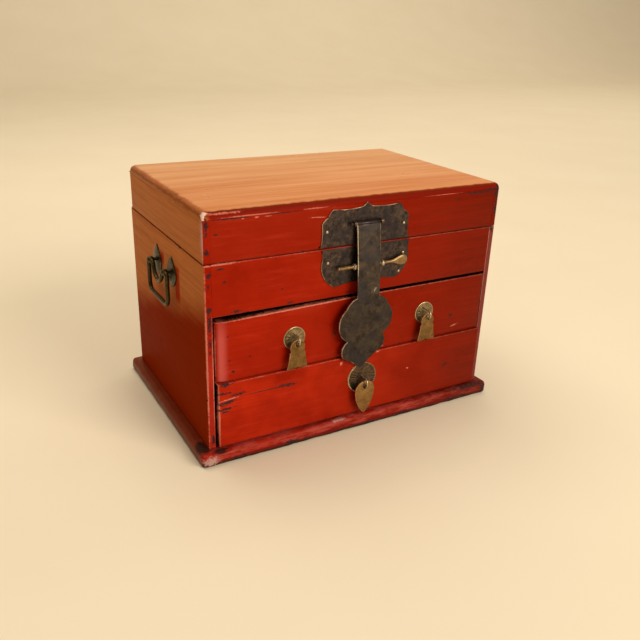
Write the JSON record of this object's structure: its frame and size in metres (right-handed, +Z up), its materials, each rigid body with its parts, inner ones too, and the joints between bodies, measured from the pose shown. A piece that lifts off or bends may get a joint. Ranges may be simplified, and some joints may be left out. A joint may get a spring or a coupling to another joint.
{
  "type": "lacquered chest",
  "caption": "Red lacquered box chest with a hinged lid over a compartment, drawers below, a hanging cloud-shaped hasp with a lock pin, drop pulls and a bail handle on each side.",
  "frame": {"origin": "on the floor under the middle of the plinth", "axes": "+X to the right of someone facing the drawers, +Y to the back, +Z up"},
  "size_m": [0.3848, 0.2692, 0.2688],
  "materials": {
    "red_lacquer": "glossy red lacquer, worn at the edges",
    "bare_wood": "plain unlacquered wood",
    "dark_bronze": "dark mottled patina",
    "antique_brass": "dull antique brass",
    "aged_brass": "dark brass with an olive patina"
  },
  "bodies": {
    "case": {"base_plinth": "red_lacquer", "left_side_panel": "red_lacquer", "right_side_panel": "red_lacquer", "back_panel": "red_lacquer", "front_rail": "red_lacquer", "compartment_floor": "bare_wood", "drawer_shelf": "bare_wood", "drawer_divider": "bare_wood", "lock_plate_lower": "dark_bronze", "lock_plate_lower_nails": "dark_bronze", "lock_eyelets": "antique_brass", "hinge_case_leaves": "dark_bronze", "hinge_case_nails": "dark_bronze", "hinge_pins": "dark_bronze", "left_handle_plates": "aged_brass", "left_handle_posts": "aged_brass", "right_handle_plates": "aged_brass", "right_handle_posts": "aged_brass"},
    "lid": {"lid_top_panel": "red_lacquer", "lid_left_board": "red_lacquer", "lid_right_board": "red_lacquer", "lid_front_board": "red_lacquer", "lid_back_board": "red_lacquer", "lock_plate_upper": "dark_bronze", "lock_plate_upper_nails": "dark_bronze", "hasp_hinge_eyes": "antique_brass", "hasp_hinge_pin": "antique_brass", "hinge_lid_leaves": "dark_bronze", "hinge_lid_nails": "dark_bronze"},
    "hasp": {"hasp": "dark_bronze"},
    "lock_pin": {"lock_pin": "antique_brass"},
    "left_bail": {"left_handle_bail": "aged_brass"},
    "right_bail": {"right_handle_bail": "aged_brass"},
    "left_drawer": {"left_drawer_front": "red_lacquer", "left_drawer_sides": "bare_wood", "left_drawer_back": "bare_wood", "left_drawer_bottom": "bare_wood", "left_pull_plate": "antique_brass", "left_pull_staple": "antique_brass"},
    "left_pendant": {"left_pull_pendant": "antique_brass"},
    "right_drawer": {"right_drawer_front": "red_lacquer", "right_drawer_sides": "bare_wood", "right_drawer_back": "bare_wood", "right_drawer_bottom": "bare_wood", "right_pull_plate": "antique_brass", "right_pull_staple": "antique_brass"},
    "right_pendant": {"right_pull_pendant": "antique_brass"},
    "lower_drawer": {"lower_drawer_front": "red_lacquer", "lower_drawer_sides": "bare_wood", "lower_drawer_back": "bare_wood", "lower_drawer_bottom": "bare_wood", "lower_pull_plate": "dark_bronze", "lower_pull_staple": "antique_brass"},
    "lower_pendant": {"lower_pull_pendant": "antique_brass"}
  },
  "joints": [
    {"name": "lid_hinge", "type": "hinge", "parent": "case", "child": "lid", "pos_m": [0, 0.1233, 0.2179], "axis": [-1, 0, 0], "range_deg": [0, 100]},
    {"name": "hasp_swing", "type": "hinge", "parent": "lid", "child": "hasp", "pos_m": [0, -0.1244, 0.2418], "axis": [-1, 0, 0], "range_deg": [0, 150]},
    {"name": "lock_pin_slide", "type": "slide", "parent": "case", "child": "lock_pin", "axis": [1, 0, 0], "range_m": [0, 0.05]},
    {"name": "left_bail_swing", "type": "hinge", "parent": "case", "child": "left_bail", "pos_m": [-0.1885, -0.003, 0.1828], "axis": [0, 1, 0], "range_deg": [0, 95]},
    {"name": "right_bail_swing", "type": "hinge", "parent": "case", "child": "right_bail", "pos_m": [0.1885, -0.003, 0.1828], "axis": [0, -1, 0], "range_deg": [0, 95]},
    {"name": "left_drawer_slide", "type": "slide", "parent": "case", "child": "left_drawer", "axis": [0, -1, 0], "range_m": [0, 0.165]},
    {"name": "right_drawer_slide", "type": "slide", "parent": "case", "child": "right_drawer", "axis": [0, -1, 0], "range_m": [0, 0.165]},
    {"name": "lower_drawer_slide", "type": "slide", "parent": "case", "child": "lower_drawer", "axis": [0, -1, 0], "range_m": [0, 0.165]},
    {"name": "left_pendant_swing", "type": "hinge", "parent": "left_drawer", "child": "left_pendant", "pos_m": [-0.0825, -0.1293, 0.1208], "axis": [-1, 0, 0], "range_deg": [0, 55]},
    {"name": "right_pendant_swing", "type": "hinge", "parent": "right_drawer", "child": "right_pendant", "pos_m": [0.0858, -0.1293, 0.1208], "axis": [-1, 0, 0], "range_deg": [0, 55]},
    {"name": "lower_pendant_swing", "type": "hinge", "parent": "lower_drawer", "child": "lower_pendant", "pos_m": [0.003, -0.1323, 0.0533], "axis": [-1, 0, 0], "range_deg": [0, 55]}
  ],
  "couplings": [
    {"joint": "left_drawer_slide", "follows": "hasp_swing", "m_per_rad": 0.0628},
    {"joint": "right_drawer_slide", "follows": "hasp_swing", "m_per_rad": 0.0628},
    {"joint": "lower_drawer_slide", "follows": "hasp_swing", "m_per_rad": 0.0628}
  ]
}
